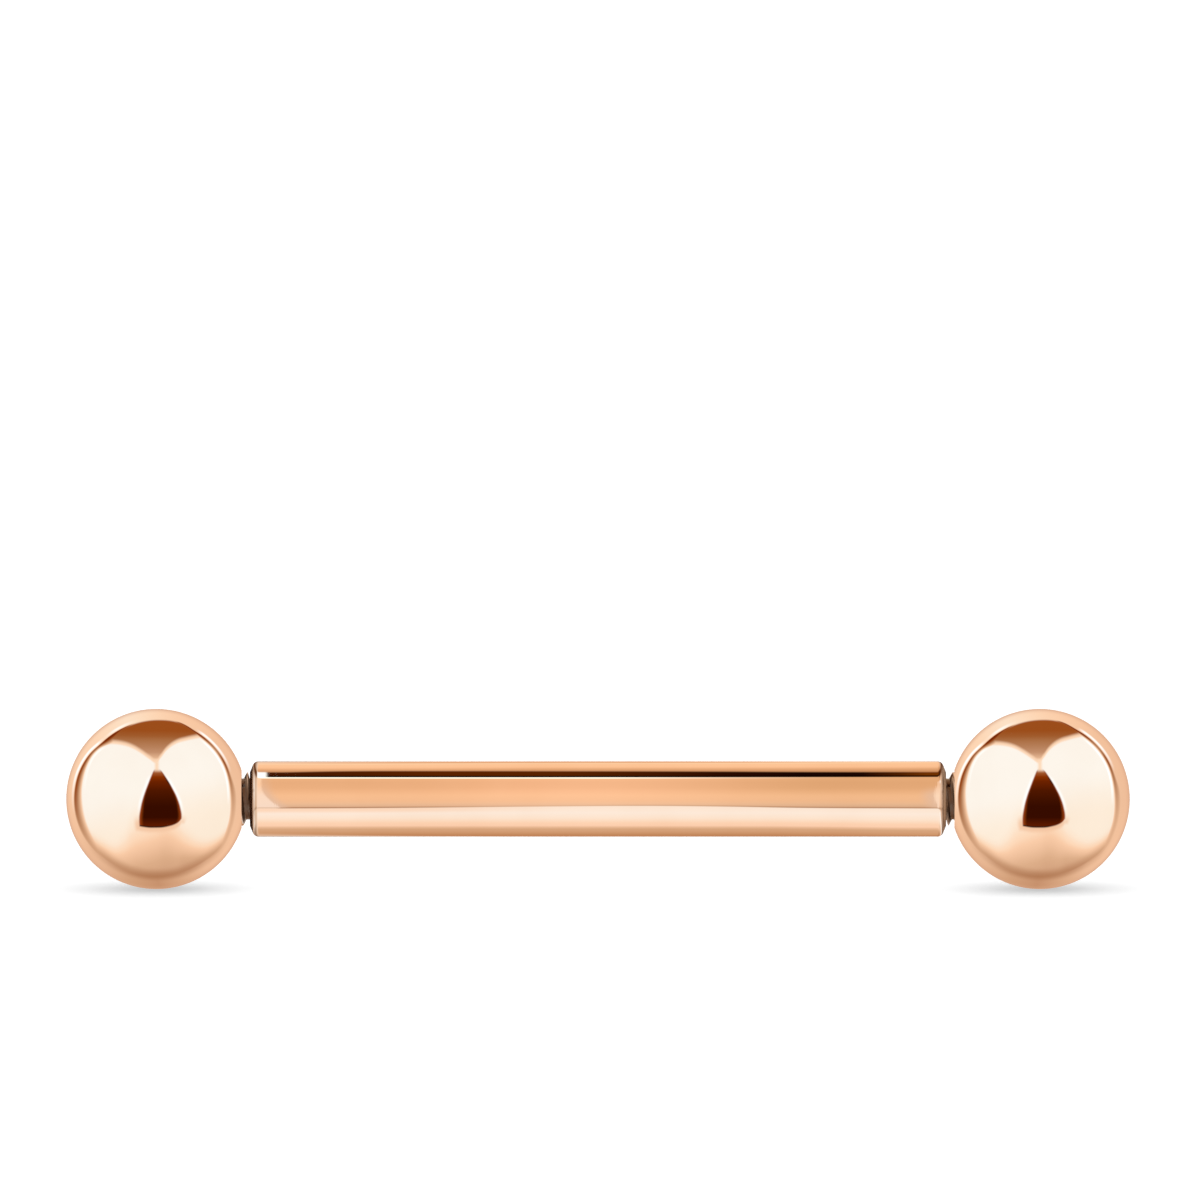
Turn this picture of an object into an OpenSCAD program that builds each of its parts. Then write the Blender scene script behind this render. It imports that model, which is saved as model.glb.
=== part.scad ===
// Straight barbell: a plain bar with a threaded stub at each end and a ball screwed onto each stub.
// Millimetres. The bar lies along X. The origin is on the floor, under the middle of the bar.

/* [Bar] */
// Diameter of the bar
bar_d = 1.63; // [1.5:0.01:2]
// Length of the bar between its two shoulders
bar_length = 15.05; // [8:0.05:38]
// Radius where a shoulder's bevel meets the bar
shoulder_r = 0.13; // [0.05:0.01:0.14]
// Angle between a shoulder's bevel and a flat end
bevel_angle = 22; // [0:1:30]

/* [Balls] */
// Diameter of each ball
ball_d = 3.9; // [3.5:0.1:8]
// Gap between a shoulder and its ball
ball_gap = 0.075; // [0.05:0.005:0.3]
// Width of the bevel around the mouth of a ball's hole
mouth_bevel = 0.03; // [0.02:0.01:0.1]
// Empty depth left in a hole past the end of the stub
hole_spare = 0.3; // [0.1:0.05:0.4]

/* [Thread] */
// Outer diameter of the thread
thread_d = 1.16; // [1.1:0.01:1.2]
// Distance from one crest of the thread to the next
thread_pitch = 0.25; // [0.2:0.01:0.3]
// Number of crests on each stub
thread_crests = 8; // [4:1:8]
// Clearance between the thread and the wall of a ball's hole
thread_clearance = 0.02; // [0.01:0.01:0.05]

/* [Finish] */
// Colour of the coated metal
metal_colour = [0.87, 0.62, 0.47]; // [0:0.01:1]

/* [Hidden] */
$fn = 96;

bar_r = bar_d / 2;
ball_r = ball_d / 2;

// A metric thread's proportions, as shares of its pitch
crest_flat = thread_pitch / 8;
root_flat = thread_pitch / 4;
flank_run = (thread_pitch - crest_flat - root_flat) / 2;
crest_r = thread_d / 2;
root_r = crest_r - flank_run / tan(30);
tip_r = root_r - crest_flat;
stub_length = thread_crests * thread_pitch - flank_run + crest_r - tip_r;

hole_r = crest_r + thread_clearance;
hole_depth = stub_length - ball_gap + hole_spare;
drill_point = hole_r / tan(59);

shoulder_x = bar_length / 2;
ball_x = shoulder_x + ball_gap + ball_r;
axis_z = ball_r;

// Centre of the arc that joins the bar's side to a shoulder's bevel, as [radius, distance along the bar]
arc_centre_r = bar_r - shoulder_r;
arc_centre = [
    arc_centre_r,
    shoulder_x - (shoulder_r + (arc_centre_r - crest_r) * sin(bevel_angle)) / cos(bevel_angle)
];
arc_end = arc_centre + shoulder_r * [sin(bevel_angle), cos(bevel_angle)];

// Lays a form that was turned about Z along the bar, with +Z towards the left and its seam on top
module along_bar(x = 0) {
    translate([x, 0, axis_z])
        rotate([0, -90, 0])
            children();
}

// Outline of one thread groove and the crest after it, from the distance z along the bar
function thread_turn(z) = [
    [root_r, z],
    [root_r, z + root_flat],
    [crest_r, z + root_flat + flank_run],
    [crest_r, z + root_flat + flank_run + crest_flat]
];

// Half of the bar's outline: the bar, one shoulder's bevel, the thread and the tip's 45 degree bevel
module bar_half_outline() {
    stub_end = shoulder_x + stub_length;
    polygon(concat(
        [[0, 0], [bar_r, 0], [bar_r, arc_centre[1]], arc_end, [crest_r, shoulder_x]],
        [for (i = [0 : thread_crests - 1]) each thread_turn(shoulder_x + i * thread_pitch)],
        [[tip_r, stub_end], [0, stub_end]]
    ));
    translate(arc_centre)
        circle(r = shoulder_r);
}

module bar() {
    color(metal_colour)
        along_bar()
            rotate_extrude()
                for (end = [0, 1])
                    mirror([0, end])
                        bar_half_outline();
}

// Outline of the hole that is drilled into a ball. Its bevel runs on at 45 degrees past the ball's surface.
module hole_outline() {
    past = 1;
    mouth_r = hole_r + mouth_bevel;
    mouth_z = sqrt(ball_r * ball_r - mouth_r * mouth_r);
    floor_z = ball_r - hole_depth;
    polygon([
        [-past, floor_z - drill_point],
        [0, floor_z - drill_point],
        [hole_r, floor_z],
        [hole_r, mouth_z - mouth_bevel],
        [mouth_r + past, mouth_z + past],
        [-past, mouth_z + past]
    ]);
}

// A ball about the origin, with its hole opening towards +Z
module drilled_ball() {
    color(metal_colour)
        rotate_extrude()
            difference() {
                intersection() {
                    circle(r = ball_r);
                    translate([0, -ball_r])
                        square([ball_r, ball_d]);
                }
                hole_outline();
            }
}

module ball_left() {
    along_bar(-ball_x)
        mirror([0, 0, 1])
            drilled_ball();
}

module ball_right() {
    along_bar(ball_x)
        drilled_ball();
}

bar();
ball_left();
ball_right();
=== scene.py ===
import math

import bmesh
import bpy
import numpy as np
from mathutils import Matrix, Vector


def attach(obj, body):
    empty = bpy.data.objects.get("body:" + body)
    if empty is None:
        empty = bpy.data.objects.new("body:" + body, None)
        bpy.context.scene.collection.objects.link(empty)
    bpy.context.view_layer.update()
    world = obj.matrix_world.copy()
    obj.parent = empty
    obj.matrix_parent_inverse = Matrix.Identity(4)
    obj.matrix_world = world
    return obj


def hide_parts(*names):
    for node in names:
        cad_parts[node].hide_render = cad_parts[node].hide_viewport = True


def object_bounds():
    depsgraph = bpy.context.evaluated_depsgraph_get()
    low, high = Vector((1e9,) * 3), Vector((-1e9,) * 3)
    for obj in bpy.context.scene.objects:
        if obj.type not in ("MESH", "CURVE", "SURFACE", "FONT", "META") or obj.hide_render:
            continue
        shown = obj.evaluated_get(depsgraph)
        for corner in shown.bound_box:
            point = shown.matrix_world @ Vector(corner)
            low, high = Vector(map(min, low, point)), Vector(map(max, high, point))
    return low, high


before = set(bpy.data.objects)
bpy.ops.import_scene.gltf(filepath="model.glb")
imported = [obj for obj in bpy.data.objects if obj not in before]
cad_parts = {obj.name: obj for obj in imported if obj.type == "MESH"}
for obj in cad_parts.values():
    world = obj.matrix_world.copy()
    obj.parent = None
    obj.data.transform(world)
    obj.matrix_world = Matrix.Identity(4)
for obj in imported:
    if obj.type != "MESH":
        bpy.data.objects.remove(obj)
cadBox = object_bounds()
scene = bpy.context.scene
mm = 0.001
print("frame loaded:", sorted(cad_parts))

# Sizes of the real thing, in millimetres
bar = {
    "diameter": 1.63,
    "length": 15.05,           # between the two shoulders
    "shoulderRadius": 0.13,
    "bevelAngle": 22.0,        # of a shoulder's bevel, from square to the bar
    "segments": 128,
    "arcSteps": 10,
    "polishedShare": 0.5,      # of a shoulder's arc, from the smooth part on
    "shoulderEase": 0.01,      # the short stretch between the smooth part and an arc
    "stretches": 24,           # rings along the smooth part
}
ball = {
    "diameter": 3.9,
    "gap": 0.075,              # between a shoulder and its ball
    "mouthRadius": 0.63,       # of the countersink where it meets the ball
    "drilledPast": 0.3,        # empty depth past the end of the stub
    "drillAngle": 59.0,        # half of the drill's point
    "segments": 160,
    "rings": 112,
}
thread = {
    "diameter": 1.16,
    "pitch": 0.25,
    "crests": 8,
    "crestShare": 0.125,       # flat crests and roots, as shares of the pitch
    "rootShare": 0.25,
    "flankAngle": 30.0,        # from square to the bar
    "roundness": 0.4,          # of the crests and roots, from sharp to round
    "clearance": 0.022,        # all round, between a stub and its ball
    "runOut": 0.05,            # over which the thread rises from the shoulder
    "ballRunOut": 0.15,        # over which it ends in the ball
    "ringsPerPitch": 24,
}

barRadius = bar["diameter"] / 2
ballRadius = ball["diameter"] / 2
shoulderX = bar["length"] / 2
ballX = shoulderX + ball["gap"] + ballRadius
axisZ = ballRadius

# The facets of the frame's balls lie a hair inside the true balls, and the polished ones stay in its box
polishedRadius = min(ballRadius, (cadBox[1][1] - cadBox[0][1]) / 2 / mm)

crestRadius = thread["diameter"] / 2
flankShare = (1 - thread["crestShare"] - thread["rootShare"]) / 2
flankRun = thread["pitch"] * flankShare
rootRadius = crestRadius - flankRun / math.tan(math.radians(thread["flankAngle"]))
tipRadius = rootRadius - thread["pitch"] * thread["crestShare"]
tipX = shoulderX + thread["crests"] * thread["pitch"] - flankRun + crestRadius - tipRadius
holeEndX = tipX + ball["drilledPast"]


# The camera stands far off, as a long macro lens does. Pixels are in a picture of 1200 by 1200.
view = {
    "pictureSide": 1200,
    "elevation": 5.0,          # degrees
    "distance": 1.0,           # metres
    "sensor": 36.0,
    "leftBallAt": (156.3, 799.0),
    "rightBallAt": (1039.7, 799.0),
}


def placeCamera():
    (leftX, row), (rightX, _) = view["leftBallAt"], view["rightBallAt"]
    half = view["pictureSide"] / 2
    perPixel = 2 * ballX * mm / (rightX - leftX)
    tilt = math.radians(view["elevation"])
    up = Vector((0, math.sin(tilt), math.cos(tilt)))
    back = Vector((0, -math.cos(tilt), math.sin(tilt)))
    # the barbell lies below the picture's middle, so the camera looks over it
    middle = Vector((0, 0, axisZ * mm))
    looksAt = middle + up * (row - half) * perPixel
    looksAt.x += (half - (leftX + rightX) / 2) * perPixel
    data = bpy.data.cameras.new("photoCamera")
    data.sensor_width = view["sensor"]
    data.lens = view["sensor"] * view["distance"] / (view["pictureSide"] * perPixel)
    data.clip_start, data.clip_end = 0.01, 20
    data.dof.use_dof = False
    eye = bpy.data.objects.new("photoCamera", data)
    scene.collection.objects.link(eye)
    eye.location = looksAt + back * view["distance"]
    eye.rotation_euler = (math.pi / 2 - tilt, 0, 0)
    scene.camera = eye
    return (eye.location - middle).normalized(), up


towardsCamera, pictureUp = placeCamera()
scene.view_settings.view_transform = "Standard"
print("camera placed")


def fillRamp(stops, places):
    stops[0].position, stops[0].color = places[0]
    stops[1].position, stops[1].color = places[-1]
    for place, colour in places[1:-1]:
        stops.new(place).color = colour


def fillCurve(mapping, places):
    points = mapping.curves[0].points
    points[0].location, points[1].location = places[0], places[-1]
    for place in places[1:-1]:
        points.new(*place)
    for point in points:
        point.handle_type = "AUTO_CLAMPED"
    mapping.use_clip = False
    mapping.extend = "HORIZONTAL"
    mapping.update()


class Wire:
    # an output of a node, which Python's operators work on
    def __init__(self, tree, socket=None):
        self.tree, self.socket = tree, socket

    def node(self, kind, settings=None, values=None, output=0):
        made = self.tree.nodes.new(kind)
        for name, value in (settings or {}).items():
            if name == "stops":
                fillRamp(made.color_ramp.elements, value)
            elif name == "points":
                fillCurve(made.mapping, value)
            else:
                setattr(made, name, value)
        for key, value in (values or {}).items():
            if isinstance(value, Wire):
                self.tree.links.new(value.socket, made.inputs[key])
            else:
                made.inputs[key].default_value = value
        return None if output is None else Wire(self.tree, made.outputs[output])

    def math(self, operation, *values):
        return self.node("ShaderNodeMath", {"operation": operation}, dict(enumerate(values)))

    def vector(self, operation, *values, output=0):
        settings = {"operation": operation}
        return self.node("ShaderNodeVectorMath", settings, dict(enumerate((self, *values))), output)

    def __add__(self, other):
        return self.math("ADD", self, other)

    def __sub__(self, other):
        return self.math("SUBTRACT", self, other)

    def __rsub__(self, other):
        return self.math("SUBTRACT", other, self)

    def __mul__(self, other):
        return self.math("MULTIPLY", self, other)

    def __truediv__(self, other):
        return self.math("DIVIDE", self, other)

    def __pow__(self, other):
        return self.math("POWER", self, other)

    def __neg__(self):
        return self.math("MULTIPLY", self, -1)

    def __abs__(self):
        return self.math("ABSOLUTE", self)

    __radd__ = __add__
    __rmul__ = __mul__

    def least(self, other):
        return self.math("MINIMUM", self, other)

    def most(self, other):
        return self.math("MAXIMUM", self, other)

    # 0 up to the first value, 1 from the second, smooth between them
    def rise(self, low, high):
        values = {"Value": self, "From Min": low, "From Max": high}
        return self.node("ShaderNodeMapRange", {"interpolation_type": "SMOOTHSTEP"}, values)

    # 1 at a place, 0 from a reach away on both sides
    def near(self, place, reach):
        return 1 - abs(self - place).rise(0, reach)

    # a soft curve through points
    def follow(self, points):
        return self.node("ShaderNodeFloatCurve", {"points": points}, {"Value": self})

    # a colour that goes straight from stop to stop
    def ramp(self, stops):
        first, last = stops[0][0], stops[-1][0]
        places = [((place - first) / (last - first), colour) for place, colour in stops]
        return self.node("ShaderNodeValToRGB", {"stops": places}, {0: (self - first) / (last - first)})

    # this is a mask: the first colour where it is 0, the second where it is 1
    def between(self, first, second, blend="MIX"):
        settings = {"data_type": "RGBA", "blend_type": blend}
        return self.node("ShaderNodeMix", settings, {0: self, 6: first, 7: second}, 2)

    # this is a colour, nowhere lighter than the other one
    def under(self, other):
        settings = {"data_type": "RGBA", "blend_type": "DARKEN"}
        return self.node("ShaderNodeMix", settings, {0: 1.0, 6: self, 7: other}, 2)

    def place(self):
        return self.node("ShaderNodeTexCoord", output="Object")

    def spots(self, perMetre, detail=2.0, stretch=(1, 1, 1)):
        place = self.place().vector("MULTIPLY", stretch)
        return self.node("ShaderNodeTexNoise", None, {"Vector": place, "Scale": perMetre, "Detail": detail})


def newMaterial(name):
    made = bpy.data.materials.new(name)
    made.use_nodes = True
    made.node_tree.nodes.clear()
    return made, Wire(made.node_tree)


# Keeps the coating's colour where a metal is seen at a slant
slantTint = (0.98, 0.85, 0.75, 1)


def finishMetal(wire, colour, roughness, height, depth):
    bumps = wire.node("ShaderNodeBump", None, {"Strength": 1.0, "Distance": depth, "Height": height})
    shader = wire.node("ShaderNodeBsdfPrincipled", None, {
        "Base Color": colour, "Specular Tint": slantTint, "Metallic": 1.0, "Roughness": roughness,
        "Normal": bumps})
    wire.node("ShaderNodeOutputMaterial", None, {"Surface": shader}, None)


# A mirror, but for the faint marks of the polishing wheel and of handling
gilding = {
    "colour": (0.93, 0.60, 0.41, 1),
    "warmer": (0.915, 0.58, 0.39, 1),
    "roughness": 0.012,
    "cloudsPerMetre": 600,
    "cloudRange": (0.35, 0.7),         # of the noise, from no cloud to a full one
    "cloudRoughness": 0.008,
    "hairlinesPerMetre": 2600,
    "hairlineWidth": 0.012,            # of the noise, to both sides of its middle
    "hairlineRoughness": 0.012,
    "grainPerMetre": 30000,
    "grainHeight": 0.5,                # as shares of the bumps' depth
    "hairlineDepth": 0.3,
    "bumpDepth": 0.00000001,
}


# The wheel leaves its hairlines in one direction, which the stretch sets
def makeGilding(name, stretch):
    made, wire = newMaterial(name)
    clouds = wire.spots(gilding["cloudsPerMetre"], 3.0).rise(*gilding["cloudRange"])
    grain = wire.spots(gilding["grainPerMetre"])
    hairlines = wire.spots(gilding["hairlinesPerMetre"], 1.0, stretch).near(0.5, gilding["hairlineWidth"])
    colour = clouds.between(gilding["colour"], gilding["warmer"])
    roughness = clouds * gilding["cloudRoughness"] + hairlines * gilding["hairlineRoughness"]
    height = grain * gilding["grainHeight"] - hairlines * gilding["hairlineDepth"]
    finishMetal(wire, colour, roughness + gilding["roughness"], height, gilding["bumpDepth"])
    return made


# The shoulders and the stubs are coated as the lathe leaves them, in fine rings that no wheel reaches, with
# painted shade in the thread's roots
turned = {
    "colour": (0.92, 0.62, 0.45, 1),
    "darker": (0.50, 0.30, 0.19, 1),
    # painted shade in the thread's roots, below its crests
    "root": (0.12, 0.06, 0.035, 1),    # below the thread's crests
    "rootShadeBelow": (0.07, 0.015),        # millimetres below a crest, from all root to none
    "roughness": 0.10,
    "ringsPerMetre": 30000,
    "ringStretch": (1, 0.04, 0.04),
    "ringRange": (0.38, 0.66),         # of the noise, from no ring to a full one
    "ringShare": 0.5,                  # of the darker colour
    "ringRoughness": 0.14,
    "patchesPerMetre": 7000,
    "patchRange": (0.5, 0.7),
    "patchShare": 0.4,
    "bumpDepth": 0.0000012,
}


def makeTurned(name):
    made, wire = newMaterial(name)
    rings = wire.spots(turned["ringsPerMetre"], 2.0, turned["ringStretch"]).rise(*turned["ringRange"])
    patches = wire.spots(turned["patchesPerMetre"], 3.0).rise(*turned["patchRange"])
    worn = rings * turned["ringShare"] + patches * turned["patchShare"]
    colour = worn.between(turned["colour"], turned["darker"])
    fromAxis = wire.place().vector("SUBTRACT", (0, 0, axisZ * mm)).vector("MULTIPLY", (0, 1, 1))
    fromAxis = fromAxis.vector("LENGTH", output="Value") / mm
    allShade, noShade = turned["rootShadeBelow"]
    # painted shade: darker in the thread's roots, below its crests
    colour = fromAxis.rise(crestRadius - allShade, crestRadius - noShade).between(turned["root"], colour)
    roughness = rings * turned["ringRoughness"] + turned["roughness"]
    finishMetal(wire, colour, roughness, rings, turned["bumpDepth"])
    return made


# The light here is set for the coating, so that a grey metal needs the coating's tone to show as grey
def grey(shade):
    red, green, blue, _ = gilding["colour"]
    return (shade * red, shade * green, shade * blue, 1)


# No coating gets into the balls' holes. Their bare steel has random stains, and further in it is darkened as
# painted shade of the hole
steel = {
    "colour": grey(0.62),
    "stained": grey(0.30),
    # painted shade, deep in the hole
    "holeShade": grey(0.05),
    "roughness": 0.22,
    "patchesPerMetre": 5000,
    "patchRange": (0.4, 0.65),
    "patchRoughness": 0.14,
    "grainPerMetre": 50000,
    "bumpDepth": 0.000002,
    "dimFrom": 0.1,            # millimetres into the hole
    "dimTo": 1.2,
}


def makeSteel(name):
    made, wire = newMaterial(name)
    patches = wire.spots(steel["patchesPerMetre"], 3.0).rise(*steel["patchRange"])
    along = abs(wire.node("ShaderNodeSeparateXYZ", None, {"Vector": wire.place()})) / mm
    inside = along - (shoulderX + ball["gap"])
    colour = patches.between(steel["colour"], steel["stained"])
    # painted shade: darker with depth into the hole
    colour = inside.rise(steel["dimFrom"], steel["dimTo"]).between(colour, steel["holeShade"])
    roughness = patches * steel["patchRoughness"] + steel["roughness"]
    grain = wire.spots(steel["grainPerMetre"])
    finishMetal(wire, colour, roughness, grain, steel["bumpDepth"])
    return made


ballGilding = makeGilding("ballGilding", (0.25, 1.0, 1.0))
barGilding = makeGilding("barGilding", (1.0, 0.08, 0.08))
turnedGilding = makeTurned("turnedGilding")
bareSteel = makeSteel("bareSteel")
print("metals made")


def smooth(values, low, high):
    share = np.clip((values - low) / (high - low), 0, 1)
    return share * share * (3 - 2 * share)


def evenAngles(segments):
    return np.arange(segments) * 2 * math.pi / segments


# How far out the thread's ridge stands at each place along the bar and each angle, from 0 to 1.
# Both ends have the same right-handed thread.
def threadHeight(x, angle):
    turn = x[:, None] / thread["pitch"] - angle[None, :] / (2 * math.pi)
    fromCrest = np.abs(turn % 1 - 0.5)
    height = np.clip((0.5 - thread["rootShare"] / 2 - fromCrest) / flankShare, 0, 1)
    return height + thread["roundness"] * (smooth(height, 0, 1) - height)


# Edges that bend by more degrees than this stay sharp
sharpFrom = 35


# A closed solid of rings round the bar's line. Each ring has its place along the bar and a radius at each
# angle. The two ends are single points, and each stretch between two rings has the number of its metal.
def turnedSolid(name, x, radius, metal, metals):
    rings, segments = radius.shape
    angle = evenAngles(segments)
    inner = slice(1, rings - 1)
    y = radius[inner] * np.cos(angle)
    z = radius[inner] * np.sin(angle) + axisZ
    along = np.repeat(x[inner, None], segments, axis=1)
    points = np.stack([along, y, z], axis=2).reshape(-1, 3)
    points = np.vstack([points, [[x[0], 0, axisZ], [x[-1], 0, axisZ]]]) * mm
    first, last = len(points) - 2, len(points) - 1
    sides = [(i, (i + 1) % segments) for i in range(segments)]
    lastRing = (rings - 3) * segments
    faces = [(first, j, i) for i, j in sides]
    for start in range(0, lastRing, segments):
        following = start + segments
        faces += [(start + i, start + j, following + j, following + i) for i, j in sides]
    faces += [(last, lastRing + i, lastRing + j) for i, j in sides]
    mesh = bpy.data.meshes.new(name)
    mesh.from_pydata(points.tolist(), [], faces)
    mesh.polygons.foreach_set("material_index", np.repeat(metal, segments))
    form = bmesh.new()
    form.from_mesh(mesh)
    bmesh.ops.recalc_face_normals(form, faces=form.faces)
    form.to_mesh(mesh)
    form.free()
    mesh.shade_smooth()
    mesh.set_sharp_from_angle(angle=math.radians(sharpFrom))
    for material in metals:
        mesh.materials.append(material)
    piece = bpy.data.objects.new(name, mesh)
    scene.collection.objects.link(piece)
    return piece


# One end of the bar, from where the smooth part stops to the middle of the stub's end
def barEnd():
    angle = evenAngles(bar["segments"])
    arcRadius = barRadius - bar["shoulderRadius"]
    bevel = math.radians(bar["bevelAngle"])
    arcX = shoulderX - (bar["shoulderRadius"] + (arcRadius - crestRadius) * math.sin(bevel)) / math.cos(bevel)
    turns = np.linspace(0, math.pi / 2 - bevel, bar["arcSteps"])
    arcXs = arcX + bar["shoulderRadius"] * np.sin(turns)
    arcRadii = arcRadius + bar["shoulderRadius"] * np.cos(turns)
    count = round((tipX - shoulderX) / thread["pitch"] * thread["ringsPerPitch"])
    stubXs = np.linspace(shoulderX, tipX, count)
    height = threadHeight(stubXs, angle) * smooth(stubXs, shoulderX, shoulderX + thread["runOut"])[:, None]
    stub = rootRadius + (crestRadius - rootRadius) * height
    stub = np.minimum(stub, (tipRadius + tipX - stubXs)[:, None])
    x = np.concatenate([arcXs, [shoulderX], stubXs, [tipX]])
    plain = np.concatenate([arcRadii, [crestRadius]])[:, None] * np.ones(len(angle))
    radius = np.vstack([plain, stub, np.zeros(len(angle))])
    metal = (np.arange(len(x) - 1) >= bar["arcSteps"] * bar["polishedShare"]).astype(int)
    return x, radius, metal, arcX


def makeBar():
    x, radius, metal, arcX = barEnd()
    # the left end is the right one turned end for end, which keeps the thread's hand
    across = (-np.arange(bar["segments"])) % bar["segments"]
    # the last stretches before the shoulders are short, so that the smooth part stays straight to its ends
    flatX = arcX - bar["shoulderEase"]
    middleXs = np.linspace(-flatX, flatX, bar["stretches"])
    middle = np.full((len(middleXs), bar["segments"]), barRadius)
    allX = np.concatenate([-x[::-1], middleXs, x])
    allRadius = np.vstack([radius[::-1][:, across], middle, radius])
    allMetal = np.concatenate([metal[::-1], np.zeros(len(middleXs) + 1, int), metal])
    piece = turnedSolid("turnedBar", allX, allRadius, allMetal, (barGilding, turnedGilding))
    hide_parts("bar")
    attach(piece, "bar")


# A ball from its outer end over to the hole's mouth, then down the countersink and the threaded hole
def makeBall(name, node, side):
    angle = evenAngles(ball["segments"])
    mouth = math.asin(ball["mouthRadius"] / polishedRadius)
    turns = np.linspace(0, math.pi - mouth, ball["rings"])
    outsideXs = ballX + polishedRadius * np.cos(turns)
    outside = polishedRadius * np.sin(turns)[:, None] * np.ones(len(angle))
    outside[0] = 0
    mouthX = outsideXs[-1]
    count = round((holeEndX - mouthX) / thread["pitch"] * thread["ringsPerPitch"])
    holeXs = np.linspace(mouthX, holeEndX, count)[1:]
    ends = tipX + thread["clearance"]
    runOut = 1 - smooth(holeXs, ends, ends + thread["ballRunOut"])
    height = threadHeight(side * holeXs, angle) * runOut[:, None]
    hole = thread["clearance"] + rootRadius + (crestRadius - rootRadius) * height
    hole = np.maximum(hole, (ball["mouthRadius"] + mouthX - holeXs)[:, None])
    pointX = holeEndX + hole[-1].max() / math.tan(math.radians(ball["drillAngle"]))
    x = np.concatenate([outsideXs, holeXs, [pointX]])
    radius = np.vstack([outside, hole, np.zeros(len(angle))])
    isBare = np.concatenate([np.zeros(len(outsideXs) - 1, bool), hole.min(1) < crestRadius, [True]])
    piece = turnedSolid(name, side * x, radius, isBare.astype(int), (ballGilding, bareSteel))
    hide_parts(node)
    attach(piece, node)


makeBar()
makeBall("leftBall", "ball_left", -1)
makeBall("rightBall", "ball_right", 1)
print("bar and balls made")


# The light that the gilding shows as a colour of a picture, whose red, green and blue go from 0 to 255
def lit(red, green, blue, gain=1.0):
    shown = []
    for value, tint in zip((red, green, blue), gilding["colour"]):
        value /= 255
        linear = value / 12.92 if value <= 0.04045 else ((value + 0.055) / 1.055) ** 2.4
        shown.append(gain * linear / tint)
    return (*shown, 1)


# Stops of a ramp, each with its place before its colour
def lights(*stops):
    return [(place, lit(*colour)) for place, *colour in stops]


# Where a mirror ball shows a light, as the camera sees the ball: across and up, both from -1 to 1
def mirrorPlace(wire):
    facing = wire.place().vector("NORMALIZE").vector("ADD", tuple(towardsCamera)).vector("NORMALIZE")
    across = facing.vector("DOT_PRODUCT", (1, 0, 0), output="Value")
    up = facing.vector("DOT_PRODUCT", tuple(pictureUp), output="Value")
    return across, up


# 0 where a mirror ball faces the camera, 1 at its outline
def slantOf(out):
    return 1 - (1 - out * out).most(0) ** 0.5


# Any metal mirrors more, and in a paler tone, towards its outline. The light is dimmer there to make up for
# it, most of all at the outline itself.
paler = (0.94, 0.60, 0.35, 1)
palerPower = 8


def evenOut(colour, out):
    return (slantOf(out) ** palerPower).between(colour, paler, "MULTIPLY")


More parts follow.
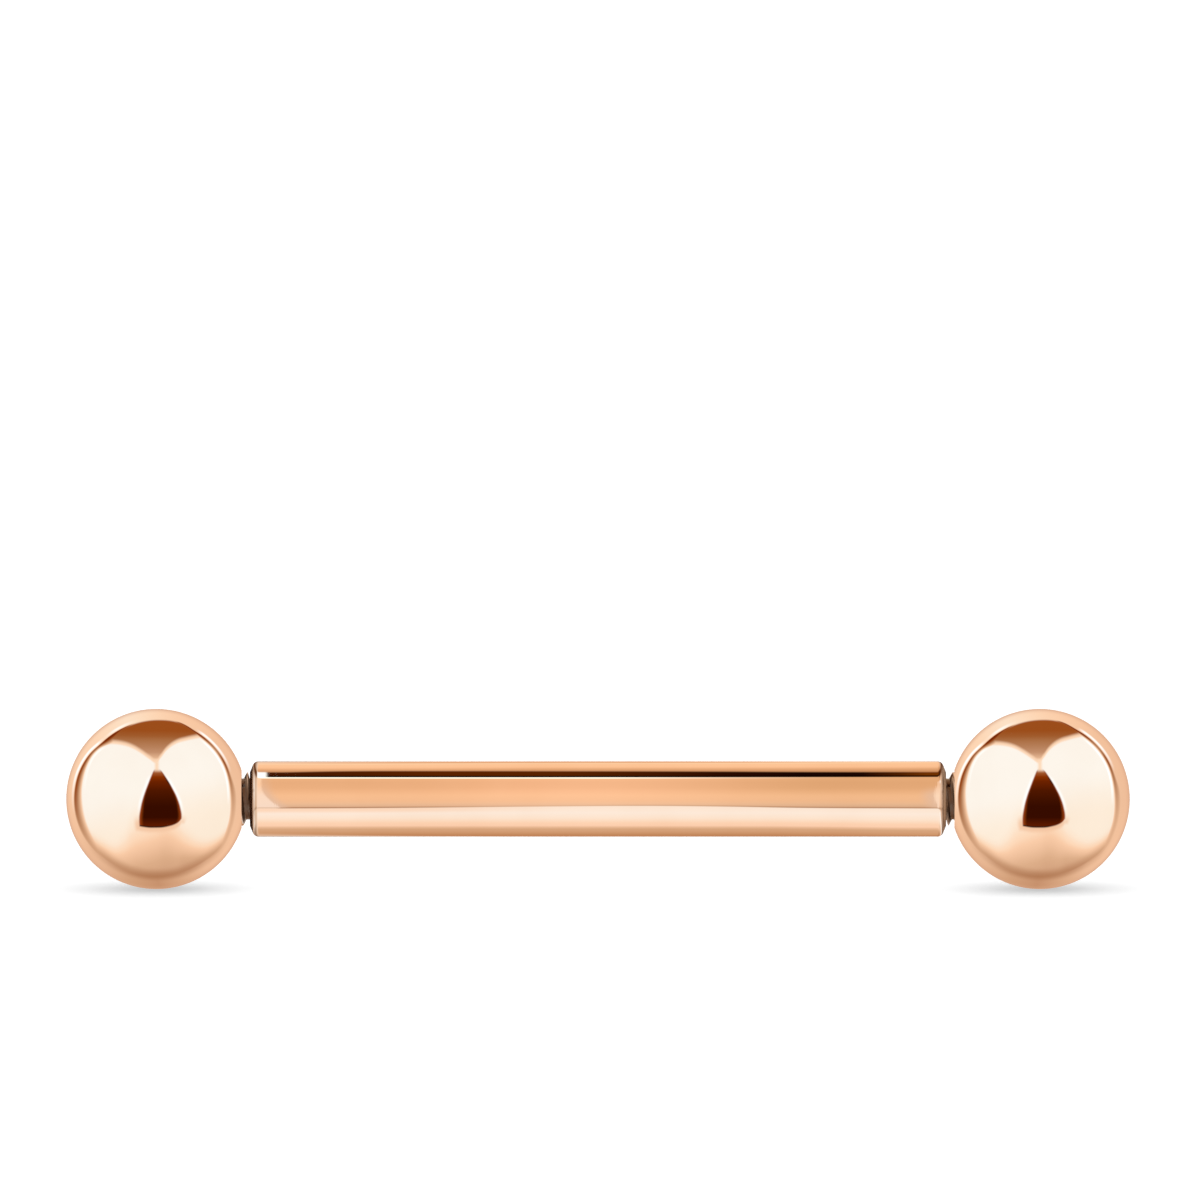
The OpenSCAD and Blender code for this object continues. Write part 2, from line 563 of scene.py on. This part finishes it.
# The tent of light that the balls mirror: two bright panels with a gap for the camera, a ceiling, a table
# below and a wall all round. Places are across, up or out from a ball's middle, from -1 to 1, and angles are
# degrees from the top, to the right. A fade is where one light starts to give way to the next, and where it
# has given way.
ballTent = {
    "radius": view["distance"],    # so that both balls show the same picture of it
    "panel": lit(254, 246, 235),
    "panelLow": lit(254, 237, 217),
    "panelSlope": 0.25,
    "panelFade": (-0.35, 0.2),
    "glint": lit(255, 255, 255, 1.15),
    # The table's edge hangs lower in the middle of each panel
    "table": lights((-0.25, 203, 152, 117), (-0.14, 214, 166, 130), (-0.08, 222, 175, 138),
                    (0.0, 241, 194, 158), (0.05, 250, 204, 168), (0.10, 254, 217, 185),
                    (0.20, 254, 230, 206), (0.35, 254, 237, 217)),
    "tableAt": ((-0.8, -0.40), (-0.6, -0.56), (-0.37, -0.655), (-0.2, -0.605), (0.0, -0.54),
                (0.10, -0.50), (0.25, -0.55), (0.48, -0.592), (0.6, -0.565), (0.8, -0.42)),
    "tableSpread": ((-0.7, 0.45), (-0.5, 0.60), (-0.37, 1.0), (-0.2, 1.7), (0.05, 1.85), (0.32, 1.0),
                    (0.5, 0.62), (0.7, 0.45)),
    "tableFade": (0.15, 0.38),
    # The wall shows as a rim
    "wall": lights((-180, 200, 148, 112), (-160, 213, 164, 127), (-140, 232, 185, 150),
                   (-108, 245, 198, 162), (-80, 250, 208, 173), (-45, 254, 218, 186),
                   (-22, 254, 229, 203), (0, 254, 216, 183), (20, 251, 206, 170), (45, 243, 196, 160),
                   (90, 240, 193, 158), (126, 246, 199, 163), (145, 238, 191, 156), (160, 222, 174, 138),
                   (180, 200, 148, 112)),
    "wallFade": (-0.012, 0.012),
    "rimEdge": lit(214, 164, 128),
    "rimFade": (0.68, 1.0),            # by the slant
    # The seam between the panels and the wall is dark, with a bright line on one or both sides
    "seamAt": ((-180, 0.850), (-150, 0.860), (-125, 0.878), (-80, 0.899), (-58, 0.885), (-43, 0.861),
               (0, 0.878), (14, 0.886), (30, 0.864), (60, 0.860), (82, 0.847), (90, 0.850), (110, 0.874),
               (128, 0.893), (143, 0.872), (180, 0.850)),
    "seamDepth": ((-180, 0.50), (-150, 0.45), (-125, 0.46), (-110, 0.60), (-80, 0.86), (-64, 0.88),
                  (-52, 0.80), (-40, 1.0), (-23, 0.86), (-12, 0.0), (8, 0.0), (16, 0.85), (33, 0.98),
                  (50, 0.68), (60, 0.86), (72, 0.72), (90, 0.50), (120, 0.38), (140, 0.45), (180, 0.50)),
    "seamInside": ((-180, 0.10), (-100, 0.11), (-78, 0.088), (-50, 0.036), (-36, 0.10), (-26, 0.03),
                   (22, 0.03), (70, 0.030), (95, 0.045), (115, 0.06), (135, 0.10), (180, 0.10)),
    "seamOutside": ((-180, 0.07), (-140, 0.07), (-115, 0.05), (-80, 0.018), (-20, 0.014), (14, 0.014),
                    (45, 0.022), (70, 0.034), (90, 0.10), (120, 0.08), (180, 0.07)),
    "seamShades": lights((0.0, 255, 255, 255), (0.1, 255, 240, 224), (0.25, 246, 200, 164),
                         (0.45, 214, 165, 129), (0.65, 182, 128, 90), (0.85, 152, 72, 22),
                         (1.0, 112, 32, 2)),
    "seamBelow": lit(172, 116, 78),
    "seamBelowShare": 0.75,
    "seamBelowFade": (105, 180),
    # Each bright line has its place and reach across the seam, then its strength by the angle
    "outerLineAt": (0.027, 0.020),
    "outerLine": ((-100, 0.0), (-85, 0.35), (-70, 0.9), (-50, 1.0), (-41, 0.1), (-30, 0.7), (-18, 0.1),
                  (-10, 0.0), (28, 0.0), (36, 0.9), (50, 0.85), (70, 0.0)),
    "innerLineAt": (-0.008, 0.016),
    "innerLine": ((-85, 0.0), (-70, 0.3), (-50, 0.5), (-43, 0.0), (34, 0.0), (44, 0.9), (80, 0.7),
                  (95, 0.0)),
    # The ceiling lies over the panels' tops
    "ceiling": lights((0.42, 254, 216, 183), (0.46, 228, 181, 145), (0.52, 197, 145, 110),
                      (0.58, 184, 129, 91), (0.65, 172, 112, 69), (0.70, 161, 92, 45),
                      (0.76, 156, 78, 27)),
    "ceilingAt": ((-0.60, 0.640), (-0.50, 0.643), (-0.39, 0.634), (-0.285, 0.606), (-0.18, 0.551),
                  (-0.075, 0.480), (-0.005, 0.440), (0.04, 0.488), (0.117, 0.585), (0.215, 0.655),
                  (0.33, 0.692), (0.55, 0.740)),
    "ceilingFade": (-0.024, 0.026),
    "panelTop": lit(254, 216, 183),
    "panelTopFade": (-0.052, -0.020),
    "panelTopFrom": (0.34, 0.40),
    # The gap is dark, and its sides draw together upwards
    "gap": lights((-0.29, 92, 26, 0), (-0.20, 55, 12, 0), (-0.08, 54, 12, 0), (0.0, 64, 17, 0),
                  (0.1, 79, 23, 0), (0.2, 108, 34, 0), (0.25, 136, 49, 0), (0.29, 160, 85, 40),
                  (0.33, 222, 176, 140)),
    "gapLeft": ((-0.36, -0.165), (-0.30, -0.186), (-0.22, -0.191), (-0.10, -0.176), (0.0, -0.153),
                (0.20, -0.082), (0.28, -0.049), (0.34, -0.022)),
    "gapRight": ((-0.36, 0.18), (-0.30, 0.232), (-0.25, 0.266), (-0.19, 0.283), (-0.10, 0.270),
                 (0.0, 0.240), (0.10, 0.194), (0.28, 0.084), (0.34, 0.037)),
    "gapFoot": ((-0.20, -0.296), (-0.15, -0.306), (-0.05, -0.316), (0.05, -0.315), (0.13, -0.302),
                (0.20, -0.281), (0.25, -0.252), (0.28, -0.215)),
    "gapFade": (-0.010, 0.012),
    "gapTop": (0.30, 0.345),
    "gapRim": lit(150, 62, 16),
    "gapRimWidth": 0.055,
    "gapRimNarrows": 0.03,             # by so much, upwards
    "gapRimFade": (-0.2, 0.1),
    "gapLine": lit(36, 8, 0),
    "gapLineSide": (0.012, 0.014),     # place and reach from a side
    "gapLineHeight": (0.2, 0.10),
    "gapLineFrom": (0, 0.05),          # so only on the right
    "gapLineFoot": (0.010, 0.014),     # and from the foot
    "gapLineEnd": (0.08, 0.16),
    "gapHalo": lit(255, 253, 250, 1.05),
    "gapHaloFade": (-0.045, -0.012),
    "gapHaloFrom": (-0.2, 0.0),
    "gapHaloEnd": (0.20, 0.30),
    "belowGap": lit(244, 196, 160),
    "belowGapShare": 0.8,
    "belowGapFade": (-0.075, -0.02),
    "belowGapEnd": (-0.28, -0.16),
    "bridge": lit(254, 220, 188),      # from the gap's top to the ceiling
    "bridgeAt": (0.004, 0.040),
    "bridgeFrom": (0.29, 0.33),
    "bridgeEnd": (0.40, 0.46),
}


def paintBallTent(wire):
    tent = ballTent
    u, v = mirrorPlace(wire)
    out = (u * u + v * v) ** 0.5
    angle = wire.math("ARCTAN2", u, v) * (180 / math.pi)

    # panels and table
    panel = (v - u * tent["panelSlope"]).rise(*tent["panelFade"]).between(tent["panelLow"], tent["panel"])
    height = (v - u.follow(tent["tableAt"])) / u.follow(tent["tableSpread"])
    colour = height.rise(*tent["tableFade"]).between(height.ramp(tent["table"]), panel)

    # ceiling
    fromFoot = v - u.follow(tent["ceilingAt"])
    panelTop = fromFoot.rise(*tent["panelTopFade"]) * v.rise(*tent["panelTopFrom"])
    colour = panelTop.between(colour, tent["panelTop"])
    colour = fromFoot.rise(*tent["ceilingFade"]).between(colour, v.ramp(tent["ceiling"]))

    # wall
    wall = slantOf(out).rise(*tent["rimFade"]).between(angle.ramp(tent["wall"]), tent["rimEdge"])
    fromSeam = out - angle.follow(tent["seamAt"])
    colour = fromSeam.rise(*tent["wallFade"]).between(colour, wall)

    # seam, and the bright lines beside it
    inside = angle.follow(tent["seamInside"])
    seam = (fromSeam / inside).rise(-1, 0) * (fromSeam / angle.follow(tent["seamOutside"])).rise(1, 0)
    below = seam * abs(angle).rise(*tent["seamBelowFade"]) * tent["seamBelowShare"]
    colour = below.between(colour, tent["seamBelow"])
    colour = colour.under((seam * angle.follow(tent["seamDepth"])).ramp(tent["seamShades"]))
    outerLine = fromSeam.near(*tent["outerLineAt"]) * angle.follow(tent["outerLine"])
    innerLine = (fromSeam + inside).near(*tent["innerLineAt"]) * angle.follow(tent["innerLine"])
    colour = (outerLine + innerLine).between(colour, tent["glint"])

    # gap, and the light round it
    fromSides = (u - v.follow(tent["gapLeft"])).least(v.follow(tent["gapRight"]) - u)
    fromGapFoot = v - u.follow(tent["gapFoot"])
    edge = fromSides.least(fromGapFoot)
    halo = edge.rise(*tent["gapHaloFade"]) * v.rise(*tent["gapHaloFrom"]) * (1 - v.rise(*tent["gapHaloEnd"]))
    colour = halo.between(colour, tent["gapHalo"])
    bridge = u.near(*tent["bridgeAt"]) * v.rise(*tent["bridgeFrom"]) * (1 - v.rise(*tent["bridgeEnd"]))
    colour = bridge.between(colour, tent["bridge"])
    below = edge.rise(*tent["belowGapFade"]) * (1 - v.rise(*tent["belowGapEnd"])) * tent["belowGapShare"]
    colour = below.between(colour, tent["belowGap"])
    rimWidth = tent["gapRimWidth"] - v.rise(*tent["gapRimFade"]) * tent["gapRimNarrows"]
    gap = (1 - fromSides.rise(0.0, rimWidth)).between(v.ramp(tent["gap"]), tent["gapRim"])
    line = fromSides.near(*tent["gapLineSide"]) * v.near(*tent["gapLineHeight"])
    line = line * u.rise(*tent["gapLineFrom"])
    line = line + fromGapFoot.near(*tent["gapLineFoot"]) * (1 - u.rise(*tent["gapLineEnd"]))
    gap = line.between(gap, tent["gapLine"])
    isGap = edge.rise(*tent["gapFade"]) * (1 - v.rise(*tent["gapTop"]))
    colour = isGap.between(colour, gap)
    return evenOut(colour, out)


# The bar is lit apart: a dark flag under a bright strip, then a slit, a panel and a table, all as long as the
# bar. Heights are from the bar's middle, from -1 to 1, and places along it are millimetres on the bar.
barTent = {
    "radius": 0.06,
    "strip": lights((0.70, 208, 146, 98), (0.75, 214, 152, 105), (0.80, 232, 172, 124),
                    (0.83, 247, 187, 140), (0.86, 254, 196, 149), (0.92, 254, 200, 154),
                    (0.945, 255, 212, 170), (0.97, 232, 172, 126), (1.0, 220, 160, 114)),
    "stripFade": (-0.030, 0.022),
    "stripSinks": 0.03,                # by so much, over the stretch that the next value names
    "stripSinksFrom": (0, -7),
    "stripAt": ((-6.8, 0.707), (-5.5, 0.736), (-4, 0.744), (-1, 0.742), (2.5, 0.733), (4.4, 0.722),
                (7, 0.715)),
    "flag": lights((-7.0, 66, 22, 0), (-3.5, 92, 36, 0), (-0.8, 89, 35, 0), (2.6, 45, 13, 0),
                   (4.4, 24, 5, 1), (5.7, 29, 7, 1), (6.5, 78, 30, 0), (7.1, 113, 50, 1)),
    "flagFade": (-0.026, -0.002),
    "flagFoot": lit(2, 0, 0),
    "flagFootLine": (0.008, 0.036),    # its place and reach
    "flagFootAt": ((-7, 0.586), (0, 0.588), (7, 0.595)),
    "slit": lit(255, 248, 226, 1.3),
    "slitFade": (0.532, 0.554),
    "slitShare": ((-7.2, 1.0), (0, 0.95), (1.0, 0.7), (2.6, 0.3), (4.4, 0.08), (5.5, 0.0)),
    "panel": lights((-0.21, 226, 178, 144), (-0.15, 238, 189, 152), (-0.10, 246, 193, 152),
                    (-0.04, 250, 193, 149), (0.10, 255, 196, 150), (0.22, 252, 190, 144),
                    (0.30, 247, 185, 139), (0.43, 245, 183, 137), (0.52, 249, 187, 140)),
    "panelShade": (0.82, 0.80, 0.70, 1),
    "panelShadeFade": (0.0, 0.3),
    "panelShadeLeast": 0.5,            # of the shade, at the panel's foot
    "panelShadeShare": ((-7.2, 0.6), (-4, 0.45), (-1, 0.0), (0.5, 0.05), (2.6, 0.5), (5.0, 1.0),
                        (7.2, 0.9)),
    "panelFootAt": ((-7.2, -0.234), (-5.5, -0.229), (-3.5, -0.214), (-1, -0.187), (1, -0.171),
                    (2.8, -0.190), (4.4, -0.220), (7, -0.233)),
    "panelFootFade": (-0.016, 0.010),
    "panelLine": lit(176, 124, 88),
    "panelLineAt": (0.006, 0.032),
    "panelLineShare": ((-6.95, 0.2), (-6.83, 0.9), (-4, 0.7), (-2.5, 0.3), (-0.8, 0.15), (1, 0.3),
                       (2.6, 0.35), (4.4, 0.75), (7.2, 0.8)),
    "table": lights((-0.95, 194, 137, 94), (-0.89, 207, 152, 110), (-0.84, 214, 161, 121),
                    (-0.79, 216, 166, 126), (-0.735, 236, 188, 151), (-0.70, 253, 207, 174),
                    (-0.63, 254, 211, 178), (-0.575, 254, 219, 190), (-0.50, 254, 228, 205),
                    (-0.36, 254, 234, 217), (-0.20, 254, 229, 207)),
    "tableRises": 0.035,               # by so much, over the stretch that the next value names
    "tableRisesFrom": (3.5, 7.2),
    "tableTop": lit(254, 208, 173),
    "tableTopFade": (-0.17, -0.05),
    "tableTopEnd": (-0.02, 0.0),
    "tableTopShare": ((-7.2, 0.7), (-4, 0.55), (-2, 0.2), (-0.5, 0.0)),
    # The left end mirrors more of the table, and the right end the edge of another light
    "pale": lights((-0.25, 248, 218, 196), (0.10, 253, 219, 193), (0.38, 255, 205, 164),
                   (0.55, 255, 210, 171)),
    "paleAt": ((-0.22, -6.86), (-0.01, -7.09), (0.22, -7.24), (0.42, -7.265)),
    "paleFade": (-0.03, 0.02),
    "paleFrom": (-0.25, -0.19),
    "paleEnd": (0.54, 0.56),
    "bloom": lit(255, 255, 250, 1.1),
    "bloomFrom": (0.55, 0.58),
    "bloomEnd": (-7.22, -7.12),
    "moon": lights((-0.23, 250, 214, 188), (0.10, 254, 216, 184), (0.38, 246, 196, 158)),
    "moonAt": 7.25,
    "moonMiddle": 0.114,               # the height where it reaches farthest in
    "moonHalf": 0.345,
    "moonBulge": 0.15,
    "moonFade": (-0.015, 0.015),
    "moonFrom": (-0.24, -0.2),
    "moonEnd": (0.44, 0.47),
    # The panel next to both
    "beside": lit(227, 187, 159),
    "besideShare": 0.8,
    "besideFrom": (-0.01, 0.03),
    "besideEnd": (0.50, 0.54),
    "besidePale": (0.0, 0.3),
    "besidePaleFade": (0.1, 0.5),
    "besidePaleLoss": 0.6,
    "besideMoon": (-0.4, 0.0),
    "besideMoonFade": (0.05, 0.4),
    # What the rounded shoulders mirror, by how far they face along the bar
    "leftShoulder": lights((0.15, 253, 219, 193), (0.36, 223, 190, 163), (0.48, 214, 180, 152),
                           (0.70, 252, 232, 214), (0.80, 200, 160, 130), (0.84, 240, 196, 160),
                           (0.885, 240, 196, 160), (0.91, 50, 24, 10), (1.0, 40, 16, 4)),
    "rightShoulder": lights((0.30, 252, 214, 184), (0.55, 228, 190, 162), (0.80, 200, 162, 134),
                            (0.84, 60, 28, 10), (0.885, 60, 28, 10), (0.91, 170, 134, 106),
                            (1.0, 124, 92, 68)),
    "leftShoulderFade": (0.12, 0.3),
    # The right shoulder's edge slants lower down, with a glint along it
    "slantFrom": 0.11,
    "slantBy": 0.93,
    "slantLeast": 0.43,
    "slantFade": (-0.06, 0.03),
    "glintAt": (0, 0.09),
    "glintBelow": (-0.24, -0.32),
    "glintAbove": (0.40, 0.06),
    "shoulderDark": lit(96, 48, 14),
    "shoulderDarkShare": 0.8,
    "shoulderDarkFrom": (0.3, 0.7),
    "shoulderDarkMiddle": -0.05,
    "shoulderDarkFade": (0.45, 0.62),
    "rightSide": (0, 0.1),
    "rightLowDown": (-0.3, -0.4),
    "shoulderBandsFrom": (0.2, 0.36),
    "shoulderBands": ((-0.95, (0.70, 0.62, 0.54, 1)), (-0.50, (1, 1, 1, 1)), (-0.25, (1, 0.97, 0.93, 1)),
                      (-0.21, (0.62, 0.52, 0.44, 1)), (-0.16, (0.96, 0.88, 0.80, 1)),
                      (0.20, (1, 1, 1, 1)), (0.50, (0.92, 0.85, 0.78, 1)), (0.56, (0.20, 0.10, 0.05, 1)),
                      (0.66, (0.16, 0.07, 0.03, 1)), (0.72, (0.88, 0.78, 0.66, 1)), (0.80, (1, 1, 1, 1))),
}


def paintBarTent(wire):
    tent = barTent
    u, v = mirrorPlace(wire)
    # light from here reaches the bar nearer to its middle, and then the camera
    along = wire.node("ShaderNodeSeparateXYZ", None, {"Vector": wire.place()})
    x = along / (mm * (1 + tent["radius"] / view["distance"]))

    # table and panel, with a thin dark line between them
    fromTable = v - x.follow(tent["panelFootAt"])
    least = tent["panelShadeLeast"]
    shade = x.follow(tent["panelShadeShare"]) * (v.rise(*tent["panelShadeFade"]) * (1 - least) + least)
    panel = shade.between(v.ramp(tent["panel"]), tent["panelShade"], "MULTIPLY")
    table = (v + x.rise(*tent["tableRisesFrom"]) * tent["tableRises"]).ramp(tent["table"])
    colour = fromTable.rise(*tent["panelFootFade"]).between(table, panel)
    tableTop = fromTable.rise(*tent["tableTopFade"]) * (1 - fromTable.rise(*tent["tableTopEnd"]))
    colour = (tableTop * x.follow(tent["tableTopShare"])).between(colour, tent["tableTop"])
    line = fromTable.near(*tent["panelLineAt"]) * x.follow(tent["panelLineShare"])
    colour = line.between(colour, tent["panelLine"])

    # slit, flag and the bright strip over it
    slit = v.rise(*tent["slitFade"]) * x.follow(tent["slitShare"])
    colour = slit.between(colour, tent["slit"])
    fromFlag = v - x.follow(tent["flagFootAt"])
    isFlag = fromFlag.rise(*tent["flagFade"])
    flag = fromFlag.near(*tent["flagFootLine"]).between(x.ramp(tent["flag"]), tent["flagFoot"])
    bloom = 1 - x.rise(*tent["bloomEnd"])
    colour = (isFlag * (1 - bloom)).between(colour, flag)

    # lighter ends
    fromPale = x - v.follow(tent["paleAt"])
    bulge = (v - tent["moonMiddle"]) / tent["moonHalf"]
    toMoon = x - bulge * bulge * tent["moonBulge"] - tent["moonAt"]
    loss = v.rise(*tent["besidePaleFade"]) * tent["besidePaleLoss"]
    beside = (1 - fromPale.rise(*tent["besidePale"])) * (1 - loss)
    beside = beside + toMoon.rise(*tent["besideMoon"]) * (1 - v.rise(*tent["besideMoonFade"]))
    beside = beside * fromTable.rise(*tent["besideFrom"]) * (1 - v.rise(*tent["besideEnd"]))
    colour = (beside * tent["besideShare"]).between(colour, tent["beside"])
    pale = (1 - fromPale.rise(*tent["paleFade"])) * v.rise(*tent["paleFrom"])
    pale = pale * (1 - v.rise(*tent["paleEnd"]))
    colour = pale.between(colour, v.ramp(tent["pale"]))
    colour = (bloom * v.rise(*tent["bloomFrom"])).between(colour, tent["bloom"])
    moon = toMoon.rise(*tent["moonFade"]) * v.rise(*tent["moonFrom"]) * (1 - v.rise(*tent["moonEnd"]))
    colour = moon.between(colour, v.ramp(tent["moon"]))
    strip = (v - x.follow(tent["stripAt"])).rise(*tent["stripFade"])
    sunk = v + x.rise(*tent["stripSinksFrom"]) * tent["stripSinks"]
    colour = strip.between(colour, sunk.ramp(tent["strip"]))

    # shoulders
    colour = (-u).rise(*tent["leftShoulderFade"]).between(colour, (-u).ramp(tent["leftShoulder"]))
    slant = (tent["slantFrom"] - v * tent["slantBy"]).most(tent["slantLeast"])
    colour = (u - slant).rise(*tent["slantFade"]).between(colour, u.ramp(tent["rightShoulder"]))
    bands = abs(u).rise(*tent["shoulderBandsFrom"])
    colour = bands.between(colour, v.ramp(tent["shoulderBands"]), "MULTIPLY")
    fromMiddle = abs(v - tent["shoulderDarkMiddle"])
    dark = abs(u).rise(*tent["shoulderDarkFrom"]) * fromMiddle.rise(*tent["shoulderDarkFade"])
    dark = dark * tent["shoulderDarkShare"]
    # half of it on the right shoulder, and none lower down there
    dark = dark * (1 - u.rise(*tent["rightSide"]) * (v.rise(*tent["rightLowDown"]) + 0.5).least(1))
    colour = dark.between(colour, tent["shoulderDark"])
    glint = (u - slant).near(*tent["glintAt"]) * (v.rise(*tent["glintBelow"]) + v.near(*tent["glintAbove"]))
    colour = glint.between(colour, tent["bloom"])
    return evenOut(colour, (u * u + v * v) ** 0.5)


# A shell of light round everything, which only the named pieces mirror. The inner one lets the outer one's
# light in.
def makeTent(name, radius, paint, pieces, letsLightIn):
    mesh = bpy.data.meshes.new(name)
    form = bmesh.new()
    bmesh.ops.create_uvsphere(form, u_segments=96, v_segments=48, radius=radius)
    form.to_mesh(mesh)
    form.free()
    made, wire = newMaterial(name)
    light = wire.node("ShaderNodeEmission", None, {"Color": paint(wire)})
    if letsLightIn:
        clear = wire.node("ShaderNodeBsdfTransparent")
        light = wire.node("ShaderNodeAddShader", None, {0: light, 1: clear})
    wire.node("ShaderNodeOutputMaterial", None, {"Surface": light}, None)
    made.cycles.emission_sampling = "NONE"
    mesh.materials.append(made)
    tent = bpy.data.objects.new(name, mesh)
    scene.collection.objects.link(tent)
    tent.location.z = axisZ * mm
    tent.visible_camera = tent.visible_diffuse = tent.visible_shadow = False
    mirrors = bpy.data.collections.new(name + "Mirrors")
    for piece in pieces:
        mirrors.objects.link(bpy.data.objects[piece])
    tent.light_linking.receiver_collection = mirrors


makeTent("ballTent", ballTent["radius"], paintBallTent, ("leftBall", "rightBall"), False)
makeTent("barTent", barTent["radius"], paintBarTent, ("turnedBar",), True)
print("tents of light made")


# A white floor that glows, under one wide soft light, so that only the balls shade it, and faintly
floor = {
    "side": 6.0,
    "colour": (0.63, 0.63, 0.63, 1),
    "glow": 0.58,
    "backdrop": 1.2,
    "lamp": math.pi,           # lights the floor to just its own colour
    "lampAngle": 168.0,        # how wide the light is, in degrees
    "lampBehind": 11.0,        # how far from overhead it stands, in degrees
    "lampLeft": 8.5,           # and to the left, in degrees
}


def makeFloor():
    half = floor["side"] / 2
    corners = [(-half, -half, 0), (half, -half, 0), (half, half, 0), (-half, half, 0)]
    mesh = bpy.data.meshes.new("paleFloor")
    mesh.from_pydata(corners, [], [(0, 1, 2, 3)])
    made, wire = newMaterial("paleFloor")
    shader = wire.node("ShaderNodeBsdfPrincipled", None, {
        "Base Color": floor["colour"], "Roughness": 1.0, "Specular IOR Level": 0.0,
        "Emission Color": (1, 1, 1, 1), "Emission Strength": floor["glow"]})
    wire.node("ShaderNodeOutputMaterial", None, {"Surface": shader}, None)
    made.cycles.emission_sampling = "NONE"
    mesh.materials.append(made)
    ground = bpy.data.objects.new("paleFloor", mesh)
    scene.collection.objects.link(ground)
    ground.visible_glossy = False
    return ground


# The backdrop is white, and the lamp lights the floor alone
def makeLight(ground):
    backdrop = bpy.data.worlds.new("whiteBackdrop")
    backdrop.use_nodes = True
    backdrop.node_tree.nodes["Background"].inputs["Color"].default_value = (1, 1, 1, 1)
    backdrop.node_tree.nodes["Background"].inputs["Strength"].default_value = floor["backdrop"]
    backdrop.cycles_visibility.glossy = backdrop.cycles_visibility.diffuse = False
    scene.world = backdrop
    data = bpy.data.lights.new("wideLamp", "SUN")
    data.energy = floor["lamp"]
    data.angle = math.radians(floor["lampAngle"])
    data.cycles.use_multiple_importance_sampling = False
    lamp = bpy.data.objects.new("wideLamp", data)
    lamp.rotation_euler = (-math.radians(floor["lampBehind"]), -math.radians(floor["lampLeft"]), 0)
    scene.collection.objects.link(lamp)
    lampLit = bpy.data.collections.new("lampLit")
    lampLit.objects.link(ground)
    lamp.light_linking.receiver_collection = lampLit


makeLight(makeFloor())
for name in ("turnedBar", "leftBall", "rightBall"):
    # each piece mirrors its tent alone, and throws none of it on the floor
    piece = bpy.data.objects[name]
    piece.visible_glossy = piece.visible_diffuse = False
bpy.data.objects["turnedBar"].visible_shadow = False
print("floor and lamp made")
